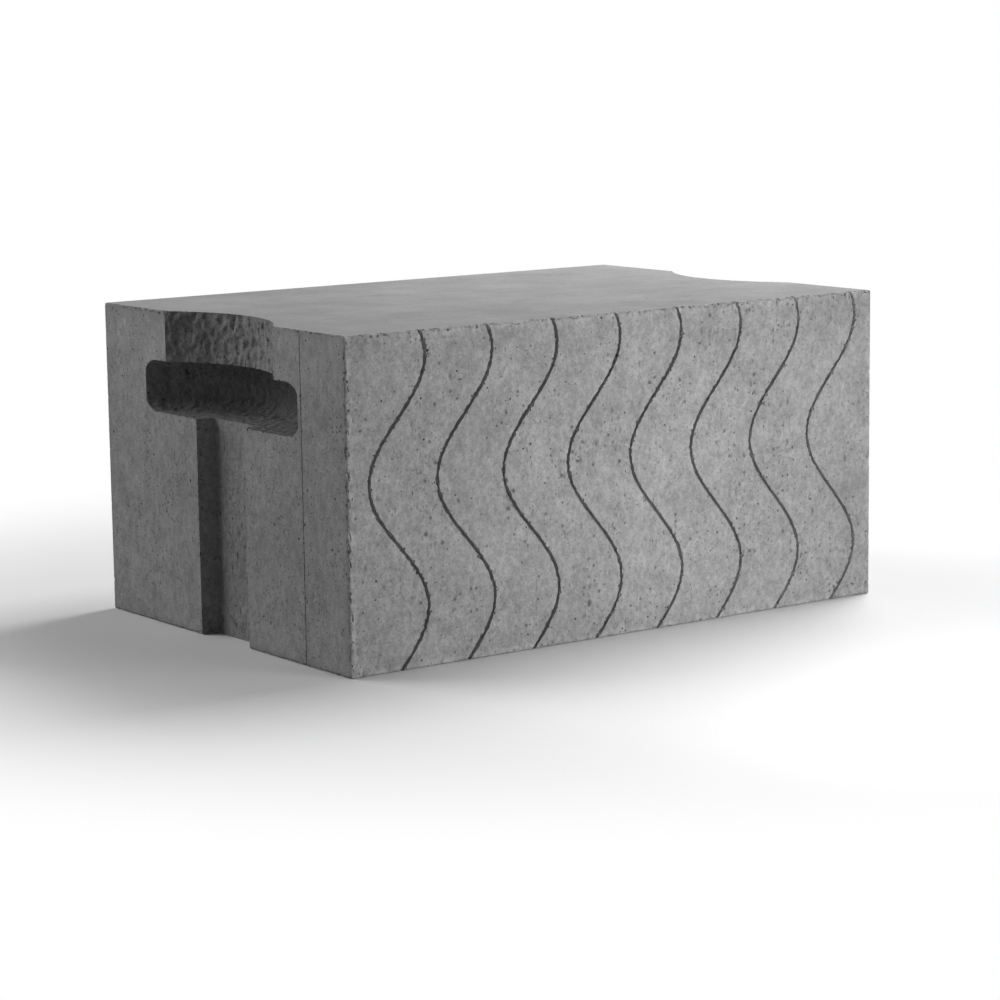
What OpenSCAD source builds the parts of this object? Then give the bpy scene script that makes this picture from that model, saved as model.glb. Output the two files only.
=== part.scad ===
// Aerated concrete foundation block with a tongue and groove and a hand hold in each end.
// Millimetres, +Z up. The origin is the centre of the bed face, +X runs along the block
// towards the tongue, and the scored face looks along -Y.

/* [Block] */
// Length between the two end faces, without the tongue
block_length = 440; // [400:5:620]
// Thickness from the scored face to the plain one
block_width = 300; // [255:5:355]
// Height of one course
block_height = 215; // [180:5:250]
// Radius of the worn arris along the outer edges
arris_radius = 2; // [0.5:0.5:5]

/* [Tongue and groove] */
// Width of the groove at its mouth
groove_width = 60; // [40:1:90]
// Depth of the groove
groove_depth = 12; // [6:1:18]
// How far each side of the groove leans in by its floor
groove_draft = 4; // [1:1:8]
// Gap all round a tongue in the groove that takes it
joint_clearance = 1; // [0.5:0.5:3]

/* [Hand holds] */
// Width of the finger slot where it opens in the end face
slot_width = 190; // [150:5:220]
// Height of the finger slot
slot_height = 35; // [30:1:45]
// Depth of the finger slot at its middle
slot_depth = 55; // [35:1:70]
// Rounding of the finger slot's long corners
slot_rounding = 14; // [8:1:14]
// How far past the slot's back that rounding would run on, so that a flat band is left there
slot_blunt = 2; // [0.5:0.5:6]
// Thickness of the lip between the finger slot and the top face
lip_height = 34; // [25:1:50]
// Width of the hand recess in the lip
recess_width = 135; // [100:5:145]
// Depth of the hand recess at its middle
recess_depth = 24; // [12:1:30]

/* [Scored face] */
// Distance from one scored wave to the next
wave_pitch = 52; // [40:1:80]
// Height of one full wave
wave_length = 160; // [100:1:240]
// Sideways reach of a wave to each side of its middle
wave_swing = 22; // [10:1:30]
// Plain margin between the outer waves and the ends of the face
wave_margin = 14; // [5:1:30]
// Width of a scored line
score_width = 2.4; // [1.5:0.1:4]
// Depth of a scored line
score_depth = 4; // [1:0.5:6]

/* [Trim line] */
// Distance of the trim line on the groove end from the scored face
trim_inset = 51; // [20:1:60]
// Width of the trim line
trim_width = 1.2; // [0.6:0.1:2]
// Depth of the trim line
trim_depth = 0.6; // [0.3:0.1:2]

/* [Hidden] */
$fn = 96;
concrete = [0.58, 0.58, 0.58];
// How far a cut runs on past the face that it leaves
overshoot = 5;
// Height between the points worked out along a wave
wave_step = 5;

slot_floor = block_height - lip_height - slot_height;
slot_radius = arc_radius(slot_width, slot_depth);
recess_radius = arc_radius(recess_width, recess_depth);
tongue_depth = groove_depth - joint_clearance;
wave_count = floor((block_length - 2 * wave_margin - 2 * wave_swing) / wave_pitch) + 1;

// Radius of the arc over a chord of this width that rises by this depth
function arc_radius(width, depth) = (width * width / 4 + depth * depth) / (2 * depth);

// Half the groove's width at a depth below its end face
function groove_half_width(depth) = groove_width / 2 - groove_draft * depth / groove_depth;

// Rectangle about the origin whose corners are rounded by the arris
module worn_rectangle(size_x, size_y) {
    square([size_x - 2 * arris_radius, size_y], center = true);
    square([size_x, size_y - 2 * arris_radius], center = true);
    for (x = [-1, 1], y = [-1, 1])
        translate([x * (size_x / 2 - arris_radius), y * (size_y / 2 - arris_radius)])
            circle(arris_radius);
}

// Plain block with a worn arris along each of its twelve edges
module worn_block() {
    translate([0, 0, block_height / 2])
        intersection() {
            linear_extrude(block_height, center = true)
                worn_rectangle(block_length, block_width);
            rotate([90, 0, 0])
                linear_extrude(block_width, center = true)
                    worn_rectangle(block_length, block_height);
            rotate([90, 0, 90])
                linear_extrude(block_length, center = true)
                    worn_rectangle(block_width, block_height);
        }
}

// Section of the tongue or of the groove: depth runs along X from the end face, and root is
// how far the section carries on behind that face
module joint_section(depth, clearance, root) {
    mouth = groove_half_width(0) - clearance;
    tip = groove_half_width(depth) - clearance;
    polygon([[-root, -mouth], [0, -mouth], [depth, -tip], [depth, tip], [0, mouth], [-root, mouth]]);
}

module tongue() {
    translate([block_length / 2, 0, 0])
        linear_extrude(block_height)
            joint_section(tongue_depth, joint_clearance, overshoot);
}

module groove() {
    translate([-block_length / 2, 0, -overshoot])
        linear_extrude(block_height + 2 * overshoot)
            joint_section(groove_depth, 0, overshoot);
}

// Disc with a rounded, blunted rim that cuts the finger slot as it is pushed into the end face
module slot_disc() {
    round_centre = slot_radius + slot_blunt - slot_rounding;
    rotate_extrude()
        intersection() {
            square([slot_radius, slot_height]);
            union() {
                square([round_centre, slot_height]);
                translate([0, slot_rounding])
                    square([slot_radius, slot_height - 2 * slot_rounding]);
                for (y = [slot_rounding, slot_height - slot_rounding])
                    translate([round_centre, y])
                        circle(slot_rounding);
            }
        }
}

// Finger slot, with the shallow round recess above it that keeps the hand clear of the next block
module hand_hold() {
    translate([block_length / 2 + slot_radius - slot_depth, 0, slot_floor])
        slot_disc();
    translate([block_length / 2 + recess_radius - recess_depth, 0, slot_floor + slot_height / 2])
        cylinder(r = recess_radius, h = slot_height / 2 + lip_height + overshoot);
}

// Sideways place and slope of a wave at a height on the face
function wave_place(z) = wave_swing * sin(360 * z / wave_length);
function wave_slope(z) = 2 * PI * wave_swing / wave_length * cos(360 * z / wave_length);

// Point on one edge of a scored line, half its width square to the wave, on side 1 or -1
function score_edge(z, side) =
    let (slope = wave_slope(z), reach = side * score_width / 2 / sqrt(1 + slope * slope))
    [wave_place(z) + reach, z - reach * slope];

// One scored line in the plane of the face, which runs off at its top and bottom
module score_line() {
    last = ceil((block_height + 2 * overshoot) / wave_step);
    heights = [for (i = [0 : last]) i * wave_step - overshoot];
    polygon([
        for (z = heights) score_edge(z, 1),
        for (i = [last : -1 : 0]) score_edge(heights[i], -1)
    ]);
}

// Scored waves side by side, all alike
module scored_waves() {
    first = -(wave_count - 1) / 2 * wave_pitch;
    translate([0, score_depth - block_width / 2, 0])
        rotate([90, 0, 0])
            linear_extrude(score_depth + overshoot)
                for (line = [0 : wave_count - 1])
                    translate([first + line * wave_pitch, 0])
                        score_line();
}

// Fine upright line left on the groove end where the face was trimmed
module trim_line() {
    translate([-block_length / 2, trim_inset - block_width / 2, block_height / 2])
        cube([2 * trim_depth, trim_width, block_height + 2 * overshoot], center = true);
}

module block() {
    color(concrete)
        difference() {
            union() {
                worn_block();
                tongue();
            }
            groove();
            for (end = [0, 180])
                rotate([0, 0, end])
                    hand_hold();
            scored_waves();
            trim_line();
        }
}

block();
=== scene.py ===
import math

import bmesh
import bpy
import numpy as np
from mathutils import Matrix, Vector, kdtree, noise


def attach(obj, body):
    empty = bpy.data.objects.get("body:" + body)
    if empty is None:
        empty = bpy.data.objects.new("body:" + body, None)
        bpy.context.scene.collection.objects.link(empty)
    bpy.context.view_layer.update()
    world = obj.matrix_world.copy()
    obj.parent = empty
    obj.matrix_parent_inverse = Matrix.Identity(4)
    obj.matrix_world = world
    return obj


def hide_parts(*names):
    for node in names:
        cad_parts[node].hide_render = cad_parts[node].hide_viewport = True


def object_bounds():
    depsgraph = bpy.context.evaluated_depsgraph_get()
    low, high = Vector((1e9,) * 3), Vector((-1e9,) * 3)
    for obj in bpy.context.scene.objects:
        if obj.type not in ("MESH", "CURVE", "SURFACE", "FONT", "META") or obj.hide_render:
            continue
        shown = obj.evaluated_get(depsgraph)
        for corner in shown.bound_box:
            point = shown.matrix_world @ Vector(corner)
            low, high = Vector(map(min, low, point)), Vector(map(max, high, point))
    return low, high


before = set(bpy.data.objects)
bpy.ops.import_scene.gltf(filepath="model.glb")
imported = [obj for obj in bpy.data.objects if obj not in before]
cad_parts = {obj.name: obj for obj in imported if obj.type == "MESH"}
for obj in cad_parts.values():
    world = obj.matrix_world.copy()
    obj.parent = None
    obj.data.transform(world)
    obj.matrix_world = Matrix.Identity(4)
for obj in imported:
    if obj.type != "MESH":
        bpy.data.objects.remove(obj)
cad_low, cad_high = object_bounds()


# The block is one piece of grey aerated concrete, cast as a cake, cut to size with wires and cured.
# Cutting opens its air pores and crumbles its arrises, and milling tears the walls of the hand holds.
weld_gap = 1e-6
cad_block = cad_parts["block"]
bpy.ops.object.select_all(action="DESELECT")
block = bpy.data.objects.new("aerated_block", cad_block.data.copy())
bpy.context.scene.collection.objects.link(block)
block.select_set(True)
bpy.context.view_layer.objects.active = block
bpy.ops.object.mode_set(mode="EDIT")
bpy.ops.mesh.select_all(action="SELECT")
bpy.ops.mesh.remove_doubles(threshold=weld_gap)
bpy.ops.mesh.select_mode(type="FACE")
bpy.ops.mesh.select_all(action="DESELECT")
bpy.ops.object.mode_set(mode="OBJECT")
bpy.ops.mesh.customdata_custom_splitnormals_clear()
bpy.ops.object.shade_flat()

# Dust half fills the trim line that runs down the groove end, near the scored face.
trim_floor = 0.0006
trim_side = -0.06
dust_depth = 0.0003
for vertex in block.data.vertices:
    depth = vertex.co.x - cad_low.x
    in_trim = vertex.co.y < trim_side and abs(depth - trim_floor) < weld_gap
    vertex.co.x -= dust_depth * in_trim

# Milling tears the wall of each hand recess into shallow lumps, so the wall is cut into small cells
# whose corners are pushed in and out. The scoring tool leaves ragged rims, so the scored lines are cut
# into short steps and their rims pushed sideways.
end_reach = -cad_low.x
side_reach = cad_high.y
block_height = cad_high.z
arris_radius = 0.002
slot_ceiling = 0.181
recess_half_width = 0.0675
recess_depth = 0.024
recess_cell = 0.0015
lump_pitch = 0.0045
lump_drawn_out = 1.6
lump_height = 0.0018
lump_falloff = 1
lump_fineness = 2
lump_layers = 2
score_depth = 0.004
score_step = 0.0016
ragged_pitch = 0.0022
ragged_reach = 0.0011
hair = 2e-5
upright_lean = 0.1
edge_on = 0.01


def in_recess(place):
    """Whether a place lies on the wall of a hand recess, clear of its rim."""
    depth = end_reach - abs(place.x)
    above_slot = slot_ceiling + hair < place.z < block_height - hair
    return hair < depth < recess_depth + hair and above_slot and abs(place.y) < recess_half_width


def is_recess_wall(face):
    """Whether a face is part of the upright wall of a hand recess."""
    return in_recess(face.center) and abs(face.normal.z) < upright_lean


def is_scored(face):
    """Whether a face is a wall or the floor of a scored line."""
    depth = face.center.y + side_reach
    cut_in = hair < depth < score_depth + hair
    wall_or_floor = abs(face.normal.y) < edge_on or depth > score_depth - hair
    return cut_in and wall_or_floor and abs(face.center.x) < end_reach - arris_radius


def is_front(face):
    """Whether a face is part of the plain front between the scored lines."""
    return face.center.y + side_reach < hair


def edit_faces(chosen):
    """Open the block in edit mode with only the chosen faces in view."""
    for face in block.data.polygons:
        face.select = chosen(face)
    bpy.ops.object.mode_set(mode="EDIT")
    bpy.ops.mesh.hide(unselected=True)


def slice_faces(way, start, stop, step):
    """Cut the faces in view along planes a step apart."""
    for place in np.arange(start + step, stop, step):
        bpy.ops.mesh.select_all(action="SELECT")
        bpy.ops.mesh.bisect(plane_co=Vector(way) * place, plane_no=way)


def close_edit():
    """Bring all faces back into view, unselected, and leave edit mode."""
    bpy.ops.mesh.select_mode(type="FACE")
    bpy.ops.mesh.reveal()
    bpy.ops.mesh.select_all(action="DESELECT")
    bpy.ops.object.mode_set(mode="OBJECT")


edit_faces(is_recess_wall)
slice_faces((0, 1, 0), -recess_half_width, recess_half_width, recess_cell)
slice_faces((0, 0, 1), slot_ceiling, block_height, recess_cell)
bpy.ops.mesh.select_all(action="DESELECT")
bpy.ops.mesh.select_mode(type="EDGE")
cells = bmesh.from_edit_mesh(block.data)
for edge in cells.edges:
    run = edge.verts[1].co - edge.verts[0].co
    slants = abs(run.y) > hair and abs(run.z) > hair
    edge.select_set(slants and not any(face.hide for face in edge.link_faces))
bpy.ops.mesh.dissolve_edges(use_verts=True)
close_edit()

edit_faces(is_scored)
slice_faces((0, 0, 1), 0, block_height, score_step)
cells = bmesh.from_edit_mesh(block.data)
for vertex in cells.verts:
    out_of_view = [face.hide for face in vertex.link_faces]
    on_rim = any(out_of_view) and not all(out_of_view)
    if on_rim and vertex.co.y + side_reach < hair:
        vertex.co.x += ragged_reach * noise.noise(vertex.co / ragged_pitch)
close_edit()
edit_faces(is_front)
bpy.ops.mesh.select_all(action="SELECT")
bpy.ops.mesh.dissolve_faces()
close_edit()

bpy.ops.object.mode_set(mode="EDIT")
bpy.ops.mesh.select_all(action="SELECT")
bpy.ops.mesh.quads_convert_to_tris()
bpy.ops.object.mode_set(mode="OBJECT")
smooth_normals = [vertex.normal.copy() for vertex in block.data.vertices]
for vertex, outward in zip(block.data.vertices, smooth_normals):
    if in_recess(vertex.co):
        rim_gap = min(vertex.co.z - slot_ceiling, block_height - vertex.co.z, end_reach - abs(vertex.co.x))
        height = lump_height * min(1, rim_gap / recess_cell)
        drawn_out = Vector((vertex.co.x, vertex.co.y, vertex.co.z / lump_drawn_out))
        swell = noise.fractal(drawn_out / lump_pitch, lump_falloff, lump_fineness, lump_layers)
        vertex.co += outward * height * swell

# Its faces are sorted by their place: the arrises, the scored lines, the hand holds and the rest. The
# material reads how badly each milled wall is torn, which also sets the painted shade that darkens the hand
# holds and the groove, and which faces are ends, beds and scored lines.
slot_floor = 0.146
slot_half_width = 0.0955
hold_reach = 0.06
groove_half_width = 0.0305
# How torn each milled wall is, which also sets how much painted shade darkens it.
recess_tear_and_shade = 0.8
slot_tear_and_shade = 1.1
groove_tear_and_shade = 0.5
facing = 0.9
square_to = 0.999
sharp_rim = math.radians(40)

shape = bmesh.new()
shape.from_mesh(block.data)
corner = np.array([[vertex.co for vertex in face.verts] for face in shape.faces])
normal = np.array([face.normal for face in shape.faces])
area = np.array([face.calc_area() for face in shape.faces])
middle = corner.mean(axis=1)
end_gap = end_reach - np.abs(middle[:, 0])
side_gap = side_reach - np.abs(middle[:, 1])
bed_gap = np.minimum(middle[:, 2], block_height - middle[:, 2])
front_gap = middle[:, 1] + side_reach

gaps = np.stack([end_gap, side_gap, bed_gap], axis=1)
on_side = (np.abs(gaps) < hair).any(axis=1)
near_arris = (gaps < arris_radius + hair).sum(axis=1) > 1
arris = near_arris & ~on_side & (np.abs(normal).max(axis=1) < square_to)
upright_arris = arris & (bed_gap > arris_radius)
end_arris = arris & (end_gap < arris_radius) & (side_gap > arris_radius)
scored = (front_gap > hair) & (front_gap < score_depth + hair) & ~on_side & ~arris
scored &= end_gap > arris_radius
in_hold = (middle[:, 2] > slot_floor - hair) & (np.abs(middle[:, 1]) < slot_half_width)
torn_and_shaded = in_hold & (end_gap > hair) & (end_gap < hold_reach) & ~on_side & ~arris
recess_wall = torn_and_shaded & (middle[:, 2] > slot_ceiling + hair)
slot_wall = torn_and_shaded & ~recess_wall
in_groove = (middle[:, 0] < 0) & (np.abs(middle[:, 1]) < groove_half_width)
groove = in_groove & (end_gap > hair) & ~on_side & ~torn_and_shaded
cut_face = ~arris & ~scored & ~torn_and_shaded
end_face = cut_face & (np.abs(normal[:, 0]) > facing)
bed_face = cut_face & (np.abs(normal[:, 2]) > facing)
wall_face = cut_face & (np.abs(normal[:, 1]) > facing)


def mark_faces(mesh, name, strength):
    """Give every face of a mesh a number that the concrete's material reads."""
    mark = mesh.attributes.new(name, "FLOAT", "FACE")
    mark.data.foreach_set("value", np.broadcast_to(strength, len(mesh.polygons)).astype(float))


mark_faces(block.data, "scored", scored)
mark_faces(block.data, "torn_and_shaded", recess_tear_and_shade * recess_wall + slot_tear_and_shade * slot_wall + groove_tear_and_shade * groove)
mark_faces(block.data, "end_face", end_face | end_arris)
mark_faces(block.data, "bed_face", bed_face)

rims = [edge for edge in shape.edges if edge.is_convex and edge.calc_face_angle() > sharp_rim]
rim_ends = np.array([[vertex.co for vertex in edge.verts] for edge in rims])
rim_normal = np.array([sum((face.normal for face in edge.link_faces), Vector()) for edge in rims])
rim_normal /= np.linalg.norm(rim_normal, axis=1, keepdims=True)
rim_length = np.linalg.norm(rim_ends[:, 1] - rim_ends[:, 0], axis=1)
rim_front_gap = rim_ends[:, :, 1].max(axis=1) + side_reach
rim_end_gap = end_reach - np.abs(rim_ends[:, :, 0]).max(axis=1)
rim_middle = rim_ends.mean(axis=1)
rim_in_hold = (rim_middle[:, 2] > slot_floor - hair) & (np.abs(rim_middle[:, 1]) < slot_half_width)
score_rim = (rim_front_gap < hair) & (rim_end_gap > arris_radius)
hold_rim = rim_in_hold & ~score_rim
joint_rim = ~score_rim & ~hold_rim
shape.free()

# Pores and crumbs are copies of two rough lumps, scattered from one seed and cut out of the block.
scatter = np.random.default_rng(7)
lump_roughness = 0.22
elbow_room = 1.1
smallest_share = 0.75
upright_sway = 0.25
arris_sway = 0.15


def rough_lump(subdivisions, seed):
    """Model a ball of radius 1 with its corners knocked about, and return its points and faces."""
    bpy.ops.object.select_all(action="DESELECT")
    bpy.ops.mesh.primitive_ico_sphere_add(subdivisions=subdivisions, radius=1)
    bpy.ops.object.mode_set(mode="EDIT")
    bpy.ops.transform.vertex_random(offset=lump_roughness, uniform=1, seed=seed)
    bpy.ops.object.mode_set(mode="OBJECT")
    ball = bpy.context.object
    points = np.array([vertex.co for vertex in ball.data.vertices])
    faces = np.array([face.vertices for face in ball.data.polygons])
    bpy.data.objects.remove(ball)
    return points / np.linalg.norm(points, axis=1).max(), faces


def on_faces(chosen, count):
    """Places spread by area over the chosen faces, and the way each of those faces looks."""
    picked = scatter.choice(np.flatnonzero(chosen), count, p=area[chosen] / area[chosen].sum())
    share = scatter.dirichlet((1, 1, 1), count)
    return np.einsum("nk,nkj->nj", share, corner[picked]), normal[picked]


def on_rims(chosen, count):
    """Places spread by length along the chosen sharp edges, and the way each edge looks."""
    weight = rim_length[chosen] / rim_length[chosen].sum()
    picked = scatter.choice(np.flatnonzero(chosen), count, p=weight)
    share = scatter.random((count, 1))
    places = rim_ends[picked, 0] * share + rim_ends[picked, 1] * (1 - share)
    return places, rim_normal[picked]


def on_corners(signs, reach, way):
    """Corners at a reach from the middle of the block's bed, and the way that each one looks."""
    signs = np.array(signs, float)
    outward = signs * way
    return signs * reach, outward / np.linalg.norm(outward, axis=1, keepdims=True)


def lump_sizes(count, smallest, largest, skew=1):
    """Radii between two sizes, with more small ones the higher the skew."""
    return smallest * (largest / smallest) ** (scatter.random(count) ** skew)


def any_way(outward):
    """A random direction at each spot."""
    return scatter.normal(size=outward.shape)


def upright(outward):
    """Up at each spot, give or take."""
    return scatter.normal(scale=upright_sway, size=outward.shape) + (0, 0, 1)


def along_arris(outward):
    """The run of the arris at each spot, give or take."""
    run = np.eye(3)[np.abs(outward).argmin(axis=1)]
    return scatter.normal(scale=arris_sway, size=outward.shape) + run


def cut_lumps(name, lump, spots, radii, sink, hollow_shade, stretch, lie):
    """Cut a lump out of the block at each spot that stays clear of those before it. The lump's middle
    lies as many radii below the surface as sink says, and painted shade darkens the hollow by the given
    share."""
    places, outward = spots
    reach = elbow_room * max(stretch) * radii
    tree = kdtree.KDTree(len(places))
    for index, place in enumerate(places):
        tree.insert(place, index)
    tree.balance()
    clear = np.ones(len(places), bool)
    for index, place in enumerate(places):
        if clear[index]:
            for _, other, gap in tree.find_range(place, reach[index] + reach.max()):
                if other > index and gap < reach[index] + reach[other]:
                    clear[other] = False
    places, outward, radii = places[clear], outward[clear], radii[clear]

    across = np.cross(lie(outward), outward)
    across /= np.linalg.norm(across, axis=1, keepdims=True)
    axes = np.stack([across, np.cross(outward, across), outward], axis=2)
    lump_points, lump_faces = lump
    size = radii[:, None] * np.array(stretch) * scatter.uniform(smallest_share, 1, places.shape)
    centres = places - outward * radii[:, None] * sink
    points = np.einsum("nij,nkj->nki", axes, lump_points * size[:, None]) + centres[:, None]
    faces = lump_faces + len(lump_points) * np.arange(len(places))[:, None, None]

    cutter_mesh = bpy.data.meshes.new(name)
    cutter_mesh.from_pydata(points.reshape(-1, 3), [], faces.reshape(-1, 3).tolist())
    mark_faces(cutter_mesh, "hollow_shade", hollow_shade)
    cutter = bpy.data.objects.new(name, cutter_mesh)
    bpy.context.scene.collection.objects.link(cutter)
    cut = block.modifiers.new(name, "BOOLEAN")
    cut.operation = "DIFFERENCE"
    cut.solver = "MANIFOLD"
    cut.object = cutter
    bpy.context.view_layer.objects.active = block
    bpy.ops.object.modifier_apply(modifier=name)
    bpy.data.objects.remove(cutter)


small_lump = rough_lump(subdivisions=1, seed=5)
round_lump = rough_lump(subdivisions=3, seed=2)
even = (1, 1, 1)
chip = (0.6, 1.4, 0.5)
slit = (0.6, 1.5, 0.8)
tear = (0.6, 1.2, 0.45)


def break_corners(name, corners, sizes, sink, hollow_shade):
    """Break a round lump out at each of these corners."""
    radii = lump_sizes(len(corners[0]), *sizes)
    cut_lumps(name, round_lump, corners, radii, sink, hollow_shade, even, any_way)


def scatter_cuts(name, spread, chosen, count, sizes, sink, hollow_shade, stretch=even, lie=any_way):
    """Cut a number of small lumps at places that are spread over the chosen faces or rims."""
    spots = spread(chosen, count)
    cut_lumps(name, small_lump, spots, lump_sizes(count, *sizes), sink, hollow_shade, stretch, lie)


# Every cut below darkens its hollow with painted shade, by the share given to it.
# Corners knocked off the block, its recesses and its groove.
top_corners = [(x, y, 1) for x in (-1, 1) for y in (-1, 1)]
groove_end_corners = top_corners[:2]
bed_corners = on_corners(top_corners, (end_reach, side_reach, 0), (1, 1, -1))
crown_corners = on_corners(top_corners, (end_reach, side_reach, block_height), (1, 1, 1))
recess_corners = on_corners(top_corners, (end_reach, recess_half_width, block_height), (1, -1, 1))
groove_corners = on_corners(groove_end_corners, (end_reach, groove_half_width, 0), (1, -1, -1))
break_corners("bed_corners", bed_corners, sizes=(0.007, 0.011), sink=-0.62, hollow_shade=0)
break_corners("crown_corners", crown_corners, sizes=(0.005, 0.008), sink=-0.62, hollow_shade=0)
break_corners("recess_corners", recess_corners, sizes=(0.005, 0.008), sink=-0.55, hollow_shade=0.1)
break_corners("groove_corners", groove_corners, sizes=(0.005, 0.007), sink=-0.55, hollow_shade=0.1)

# Chips and crumbs broken from the arrises, from large to small.
scatter_cuts("chips", on_faces, arris, 900, sizes=(0.0018, 0.0045, 1.5),
             sink=-0.12, hollow_shade=0.25, stretch=chip, lie=along_arris)
scatter_cuts("crumbs", on_faces, arris, 520, sizes=(0.0009, 0.0021, 1.5), sink=-0.15, hollow_shade=0.4)
scatter_cuts("notches", on_faces, upright_arris, 170, sizes=(0.001, 0.0032),
             sink=-0.1, hollow_shade=0.5, stretch=chip, lie=along_arris)
scatter_cuts("small_crumbs", on_faces, arris, 100, sizes=(0.0005, 0.0009), sink=-0.1, hollow_shade=0.5)

# Air pores laid open on the cut faces, most of them on the two long sides, and some drawn out upright.
scatter_cuts("wall_pores", on_faces, wall_face, 760, sizes=(0.0005, 0.0015, 2), sink=0.35, hollow_shade=0.9)
scatter_cuts("wall_slits", on_faces, wall_face, 380, sizes=(0.0006, 0.0013, 2),
             sink=0.3, hollow_shade=0.8, stretch=slit, lie=upright)
scatter_cuts("end_pores", on_faces, end_face, 360, sizes=(0.0005, 0.0015, 2), sink=0.3, hollow_shade=0.7)
scatter_cuts("bed_pores", on_faces, bed_face, 200, sizes=(0.0005, 0.0015, 2), sink=0.35, hollow_shade=0.9)

# Upright tears in the milled walls of the hand holds, large ones first.
scatter_cuts("large_tears", on_faces, recess_wall, 60, sizes=(0.0022, 0.0036),
             sink=-0.05, hollow_shade=0.3, stretch=tear, lie=upright)
scatter_cuts("small_tears", on_faces, recess_wall, 180, sizes=(0.0009, 0.002),
             sink=-0.05, hollow_shade=0.4, stretch=tear, lie=upright)
scatter_cuts("slot_tears", on_faces, slot_wall, 110, sizes=(0.0018, 0.004),
             sink=-0.05, hollow_shade=0.3, stretch=tear, lie=upright)

# Nibbles along the scored lines, along the rims of the hand holds and along the tongue and groove.
scatter_cuts("score_nibbles", on_rims, score_rim, 420, sizes=(0.0008, 0.002, 2), sink=0.1, hollow_shade=0.6)
scatter_cuts("hold_nibbles", on_rims, hold_rim, 380, sizes=(0.0006, 0.0018, 1.5), sink=-0.1, hollow_shade=0.25)
scatter_cuts("joint_nibbles", on_rims, joint_rim, 240, sizes=(0.0006, 0.0014, 1.5), sink=0, hollow_shade=0.6)

# The slot's lower corner nearest the scored face is broken out.
broken_reach = (end_reach, 0.0885, 0.151)
slot_corner = on_corners(groove_end_corners[:1], broken_reach, (1, 0, 0))
break_corners("slot_corner", slot_corner, sizes=(0.0058, 0.006), sink=0.1, hollow_shade=0.2)

# Loose crumbs that the cuts leave are swept away: all but the largest group of joined points.
finished = bmesh.new()
finished.from_mesh(block.data)
unsorted = set(finished.verts)
groups = []
while unsorted:
    group = [unsorted.pop()]
    for vertex in group:
        joined = {edge.other_vert(vertex) for edge in vertex.link_edges} & unsorted
        unsorted -= joined
        group.extend(joined)
    groups.append(group)
groups.sort(key=len)
loose = [vertex for group in groups[:-1] for vertex in group]
bmesh.ops.delete(finished, geom=loose, context="VERTS")

# The torn recess walls are shaded smooth, up to the sharp rims of their pits.
sharp_pit = math.radians(60)
tear_and_shade_layer = finished.faces.layers.float["torn_and_shaded"]
for face in finished.faces:
    face.smooth = abs(face[tear_and_shade_layer] - recess_tear_and_shade) < hair
for edge in finished.edges:
    between_smooth = all(face.smooth for face in edge.link_faces)
    edge.smooth = between_smooth and edge.calc_face_angle(0) < sharp_pit
finished.to_mesh(block.data)
finished.free()

# The concrete is matt grey, mottled and grainy, with dark specks where pores lie just under the skin.
# The ends are streaked upright and the beds lengthwise by the cutting. The worn arrises are paler, and the
# ends are darker close to their arrises. The ends are painted paler from just below the finger slots'
# ceilings upward, as painted light from above.
concrete_grey = 0.36
soft_range = (0.3, 0.7)
speck_edge = (0.4, 1.2)
smallest_speck = 1e-4
faintest_speck = 0.35
bed_evenness = 0.75
arris_band_reach = (0.0015, 0.006)
lip_painted_light_heights = (slot_ceiling - 0.02, slot_ceiling + 0.01)
bump_height = 0.001
concrete = bpy.data.materials.new("aerated_concrete")
concrete.use_nodes = True
concrete_nodes = concrete.node_tree.nodes
concrete_links = concrete.node_tree.links
concrete_shader = concrete_nodes["Principled BSDF"]
block_place = concrete_nodes.new("ShaderNodeTexCoord").outputs["Object"]


def feed(socket, value):
    """Link a socket to another one, or set it to a plain number."""
    if isinstance(value, bpy.types.NodeSocket):
        concrete_links.new(value, socket)
    else:
        socket.default_value = value


def calculate(operation, *values):
    """One sum of sockets and plain numbers."""
    step = concrete_nodes.new("ShaderNodeMath")
    step.operation = operation
    for socket, value in zip(step.inputs, values):
        feed(socket, value)
    return step.outputs["Value"]


def product(first, second):
    """One socket or number times another."""
    return calculate("MULTIPLY", first, second)


def remap(value, low, high, to_low, to_high):
    """A value stretched from one range to another and held inside it."""
    step = concrete_nodes.new("ShaderNodeMapRange")
    for name, number in (("Value", value), ("From Min", low), ("From Max", high),
                         ("To Min", to_low), ("To Max", to_high)):
        feed(step.inputs[name], number)
    return step.outputs["Result"]


def stretched(vector, stretch):
    """Coordinates scaled along each axis."""
    step = concrete_nodes.new("ShaderNodeMapping")
    step.inputs["Scale"].default_value = stretch
    concrete_links.new(vector, step.inputs["Vector"])
    return step.outputs["Vector"]


def clouds(per_metre, detail, vector=block_place):
    """Soft random patches from 0 to 1, about so many to the metre."""
    texture = concrete_nodes.new("ShaderNodeTexNoise")
    texture.inputs["Scale"].default_value = per_metre
    texture.inputs["Detail"].default_value = detail
    concrete_links.new(vector, texture.inputs["Vector"])
    return texture.outputs["Fac"]


def shaken(vector, per_metre, reach):
    """Coordinates pushed about by up to a reach, so that what is drawn on them comes out ragged."""
    texture = concrete_nodes.new("ShaderNodeTexNoise")
    texture.inputs["Scale"].default_value = per_metre
    concrete_links.new(vector, texture.inputs["Vector"])
    push = concrete_nodes.new("ShaderNodeVectorMath")
    push.operation = "MULTIPLY_ADD"
    concrete_links.new(texture.outputs["Color"], push.inputs[0])
    push.inputs[1].default_value = (2 * reach, 2 * reach, 2 * reach)
    concrete_links.new(vector, push.inputs[2])
    return push.outputs["Vector"]


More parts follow.
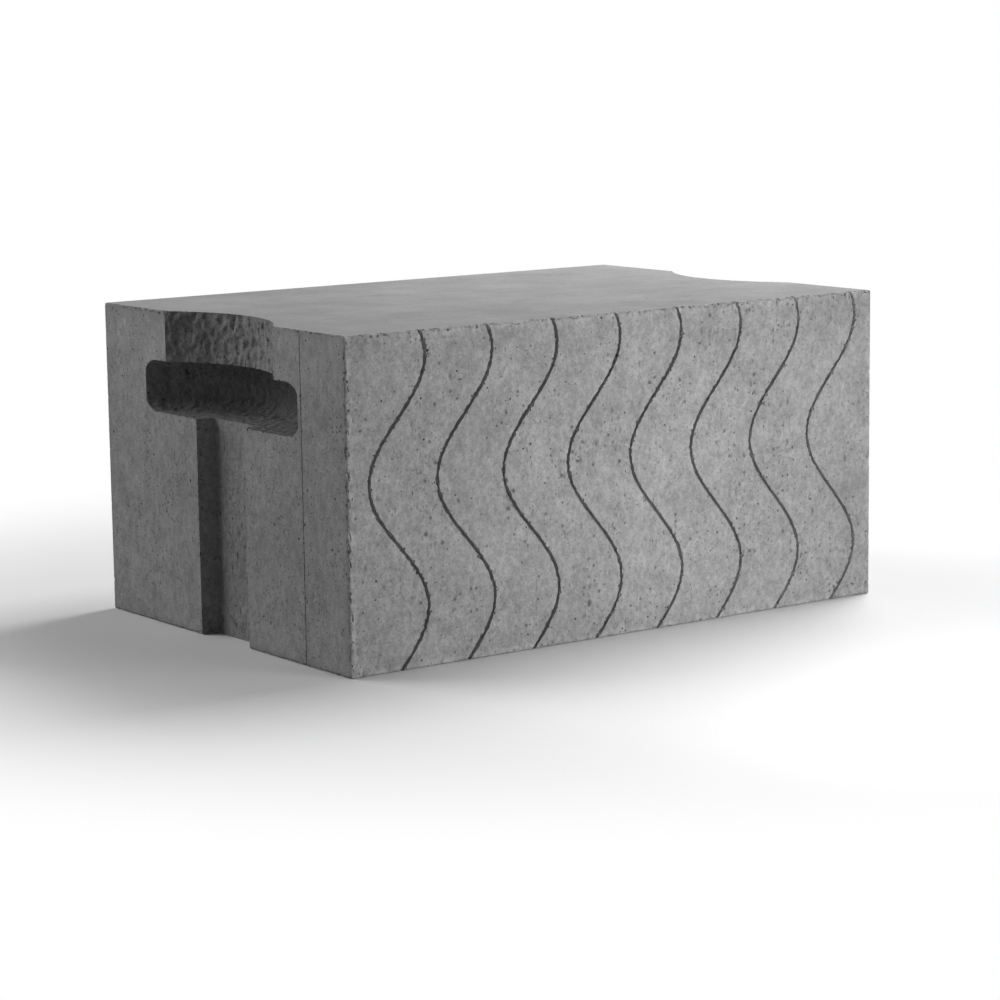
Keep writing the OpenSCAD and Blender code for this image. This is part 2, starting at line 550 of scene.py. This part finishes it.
def specks(per_metre, rarity, reach, vector):
    """Small spots in some cells of a random mosaic, crowded in places, each of its own size and depth."""
    texture = concrete_nodes.new("ShaderNodeTexVoronoi")
    texture.inputs["Scale"].default_value = per_metre
    concrete_links.new(vector, texture.inputs["Vector"])
    chance = concrete_nodes.new("ShaderNodeSeparateColor")
    concrete_links.new(texture.outputs["Color"], chance.inputs["Color"])
    size = product(remap(chance.outputs["Red"], rarity, 1, 0, reach), crowding)
    never_zero = calculate("ADD", size, smallest_speck)
    spot = remap(calculate("DIVIDE", texture.outputs["Distance"], never_zero), *speck_edge, 1, 0)
    return product(spot, remap(chance.outputs["Green"], 0, 1, faintest_speck, 1))


def marked(name):
    """The number that the faces carry under this name."""
    mark = concrete_nodes.new("ShaderNodeAttribute")
    mark.attribute_name = name
    return mark.outputs["Fac"]


def shade(tone, share, strength):
    """A tone made darker, or paler with a strength below 0, by a share from 0 to 1."""
    return product(tone, calculate("MULTIPLY_ADD", share, -strength, 1))


def swing(tone, pattern, amount):
    """A tone moved up and down by the middle range of a soft pattern."""
    both_ways = remap(pattern, *soft_range, -1, 1)
    return product(tone, calculate("MULTIPLY_ADD", both_ways, amount, 1))


hollow_shade_mark = marked("hollow_shade")
torn_and_shaded_mark = marked("torn_and_shaded")
score_mark = marked("scored")
end_mark = marked("end_face")
bed_mark = marked("bed_face")
off_end = calculate("SUBTRACT", 1, end_mark)
off_bed = calculate("SUBTRACT", 1, product(bed_mark, bed_evenness))
ragged_place = shaken(block_place, per_metre=900, reach=0.0009)
upright_place = stretched(ragged_place, (1, 1, 0.45))
grain = clouds(650, detail=3)
coarse_grain = clouds(280, detail=2, vector=stretched(ragged_place, (1, 1, 0.65)))
crowding = remap(clouds(28, detail=2), 0.35, 0.65, 0.5, 1.25)
tear_pattern = clouds(240, detail=2, vector=stretched(ragged_place, (1, 1, 0.8)))
gouges = clouds(170, detail=1, vector=stretched(ragged_place, (1, 1, 0.7)))
bed_patches = clouds(30, detail=2)
end_streaks = clouds(330, detail=3, vector=stretched(block_place, (0, 1, 0.05)))
bed_streaks = clouds(300, detail=3, vector=stretched(block_place, (0.03, 1, 0)))

axis = concrete_nodes.new("ShaderNodeSeparateXYZ")
concrete_links.new(block_place, axis.inputs["Vector"])
raised = calculate("SUBTRACT", axis.outputs["Z"], block_height / 2)
to_end = calculate("SUBTRACT", end_reach, calculate("ABSOLUTE", axis.outputs["X"]))
to_side = calculate("SUBTRACT", side_reach, calculate("ABSOLUTE", axis.outputs["Y"]))
to_bed = calculate("SUBTRACT", block_height / 2, calculate("ABSOLUTE", raised))
nearer = calculate("MINIMUM", to_end, to_side)
further = calculate("MAXIMUM", to_end, to_side)
to_arris = calculate("MAXIMUM", nearer, calculate("MINIMUM", further, to_bed))
arris_band = product(remap(to_arris, *arris_band_reach, 1, 0), remap(coarse_grain, 0.35, 0.6, 0.2, 1))
lip_painted_light = remap(axis.outputs["Z"], *lip_painted_light_heights, 0, 1)

tone = swing(concrete_grey, clouds(16, detail=2), 0.07)
tone = swing(tone, clouds(75, detail=3), product(off_bed, 0.1))
tone = swing(tone, coarse_grain, product(off_bed, 0.13))
tone = swing(tone, grain, product(off_bed, 0.14))
tone = shade(tone, product(specks(420, rarity=0.5, reach=0.42, vector=ragged_place), off_bed), 0.6)
tone = shade(tone, product(specks(230, rarity=0.6, reach=0.34, vector=ragged_place), off_bed), 0.7)
tone = shade(tone, product(specks(300, rarity=0.6, reach=0.36, vector=upright_place), off_bed), 0.7)
tone = shade(tone, specks(110, rarity=0.8, reach=0.16, vector=ragged_place), -0.35)
tone = swing(tone, end_streaks, product(end_mark, 0.035))
tone = swing(tone, bed_streaks, product(bed_mark, 0.03))
tone = swing(tone, bed_patches, product(bed_mark, 0.05))
tone = shade(tone, product(arris_band, off_end), -0.2)
tone = shade(tone, product(arris_band, end_mark), 0.2)
# Painted light: the ends are paler from just below the finger slots' ceilings upward, as if lit more from
# above.
tone = shade(tone, product(lip_painted_light, end_mark), -0.13)
# Painted shade: the walls of the hand recesses, finger slots and groove are darkened as if in shadow, the
# slots most.
tone = shade(tone, torn_and_shaded_mark, 0.32)
tone = swing(tone, tear_pattern, product(torn_and_shaded_mark, 0.08))
tone = shade(tone, product(score_mark, clouds(90, detail=2)), -0.2)
# Painted shade: the hollows of the cut pores, chips, crumbs, tears and nibbles are darkened as if in their
# own shadow.
tone = shade(tone, hollow_shade_mark, 0.5)
concrete_links.new(tone, concrete_shader.inputs["Base Color"])
concrete_links.new(remap(grain, *soft_range, 0.86, 0.98), concrete_shader.inputs["Roughness"])
concrete_shader.inputs["Specular IOR Level"].default_value = 0.05

grain_relief = product(calculate("ADD", grain, product(coarse_grain, 0.8)), 0.3)
torn_relief = calculate("ADD", product(tear_pattern, 1.8), product(gouges, 2))
relief = calculate("ADD", product(grain_relief, off_bed), product(torn_relief, torn_and_shaded_mark))
bump = concrete_nodes.new("ShaderNodeBump")
bump.inputs["Distance"].default_value = bump_height
concrete_links.new(relief, bump.inputs["Height"])
concrete_links.new(bump.outputs["Normal"], concrete_shader.inputs["Normal"])
block.data.materials.clear()
block.data.materials.append(concrete)

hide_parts("block")
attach(block, "root")


# The floor is a wide sheet of pale paper that the block stands on. It keeps the block's shadow, and away
# from the block it turns to plain white. Light that bounces off it comes back weaker than it looks.
floor_size = 12.0
shadow_reach = (0.28, 0.65)
seen_paper = 0.9
bouncing_paper = 0.34
bpy.ops.mesh.primitive_plane_add(size=floor_size, location=(0, 0, 0))
floor = bpy.context.object
floor.name = "floor"
paper = bpy.data.materials.new("pale_paper")
paper.use_nodes = True
paper_nodes = paper.node_tree.nodes
paper_links = paper.node_tree.links


def seen_or_mirrored(nodes, links):
    """A socket that is 1 where the camera sees a surface, also in a mirror or through glass, and else 0."""
    ray = nodes.new("ShaderNodeLightPath")
    mirrored = nodes.new("ShaderNodeMath")
    mirrored.operation = "MAXIMUM"
    seen = nodes.new("ShaderNodeMath")
    seen.operation = "MAXIMUM"
    links.new(ray.outputs["Is Glossy Ray"], mirrored.inputs[0])
    links.new(ray.outputs["Is Transmission Ray"], mirrored.inputs[1])
    links.new(ray.outputs["Is Camera Ray"], seen.inputs[0])
    links.new(mirrored.outputs["Value"], seen.inputs[1])
    return seen.outputs["Value"]


paper_seen = seen_or_mirrored(paper_nodes, paper_links)
paper_shader = paper_nodes["Principled BSDF"]
paper_shader.inputs["Roughness"].default_value = 0.9
paper_tone = paper_nodes.new("ShaderNodeMapRange")
paper_tone.inputs["To Min"].default_value = bouncing_paper
paper_tone.inputs["To Max"].default_value = seen_paper
paper_links.new(paper_seen, paper_tone.inputs["Value"])
paper_links.new(paper_tone.outputs["Result"], paper_shader.inputs["Base Color"])

floor_place = paper_nodes.new("ShaderNodeTexCoord")
distance = paper_nodes.new("ShaderNodeVectorMath")
distance.operation = "LENGTH"
fade = paper_nodes.new("ShaderNodeMapRange")
fade.interpolation_type = "SMOOTHSTEP"
fade.inputs["From Min"].default_value = shadow_reach[0]
fade.inputs["From Max"].default_value = shadow_reach[1]
white_share = paper_nodes.new("ShaderNodeMath")
white_share.operation = "MULTIPLY"
white = paper_nodes.new("ShaderNodeEmission")
white.inputs["Color"].default_value = (1, 1, 1, 1)
white.inputs["Strength"].default_value = 1
whitened = paper_nodes.new("ShaderNodeMixShader")
paper_links.new(floor_place.outputs["Object"], distance.inputs[0])
paper_links.new(distance.outputs["Value"], fade.inputs["Value"])
paper_links.new(fade.outputs["Result"], white_share.inputs[0])
paper_links.new(paper_seen, white_share.inputs[1])
paper_links.new(white_share.outputs["Value"], whitened.inputs["Fac"])
paper_links.new(paper_shader.outputs["BSDF"], whitened.inputs[1])
paper_links.new(white.outputs["Emission"], whitened.inputs[2])
paper_links.new(whitened.outputs["Shader"], paper_nodes["Material Output"].inputs["Surface"])
floor.data.materials.append(paper)


# The world is the studio's white surroundings. It is plain white to the camera and in reflections, and
# only a weak even light on the block.
ambient_strength = 0.065
white_strength = 1.0
world = bpy.data.worlds.new("studio")
bpy.context.scene.world = world
world.use_nodes = True
world_nodes = world.node_tree.nodes
world_links = world.node_tree.links
background = world_nodes["Background"]
background.inputs["Color"].default_value = (1, 1, 1, 1)
strength = world_nodes.new("ShaderNodeMapRange")
strength.inputs["To Min"].default_value = ambient_strength
strength.inputs["To Max"].default_value = white_strength
world_links.new(seen_or_mirrored(world_nodes, world_links), strength.inputs["Value"])
world_links.new(strength.outputs["Result"], background.inputs["Strength"])


# A soft lamp stands low before the scored face, a larger one hangs over the top, and a broad one
# far behind on the left rakes along the groove end.
def soft_lamp(name, place, target, size, power):
    """Set up a square lamp at a place, aimed at a target and out of the camera's sight."""
    lamp = bpy.data.lights.new(name, "AREA")
    lamp.shape = "SQUARE"
    lamp.size = size
    lamp.energy = power
    lamp_object = bpy.data.objects.new(name, lamp)
    bpy.context.scene.collection.objects.link(lamp_object)
    lamp_object.visible_camera = False
    lamp_object.location = place
    aim = Vector(target) - Vector(place)
    lamp_object.rotation_euler = aim.to_track_quat("-Z", "Y").to_euler()


soft_lamp("face_lamp", place=(0.08, -0.61, 0.07), target=(0.08, -0.15, 0.07), size=0.3, power=2.47)
soft_lamp("top_lamp", place=(0.85, 0.15, 1.1), target=(0.1, 0, 0.2), size=0.7, power=15.8)
soft_lamp("rake_lamp", place=(-2.9, 3.6, 2.2), target=(-0.2, 0, 0.1), size=3.4, power=128)


# The camera stands where the photograph was taken from. Its place, tilt and lens come from the corners
# of the block in the photograph.
camera_place = Vector((-1.2464, -1.7062, 0.4136))
camera_azimuth = math.radians(-36.3)
camera_elevation = math.radians(9.19)
camera_roll = math.radians(-0.75)
camera_lens = 109.95
camera_sensor = 36
camera_data = bpy.data.cameras.new("camera")
camera_data.lens = camera_lens
camera_data.sensor_width = camera_sensor
camera = bpy.data.objects.new("camera", camera_data)
bpy.context.scene.collection.objects.link(camera)
tilt = Matrix.Rotation(math.pi / 2 - camera_elevation, 4, "X")
turn = Matrix.Rotation(camera_azimuth, 4, "Z")
roll = Matrix.Rotation(camera_roll, 4, "Z")
camera.matrix_world = Matrix.Translation(camera_place) @ turn @ tilt @ roll
bpy.context.scene.camera = camera

bpy.context.scene.view_settings.view_transform = "Standard"
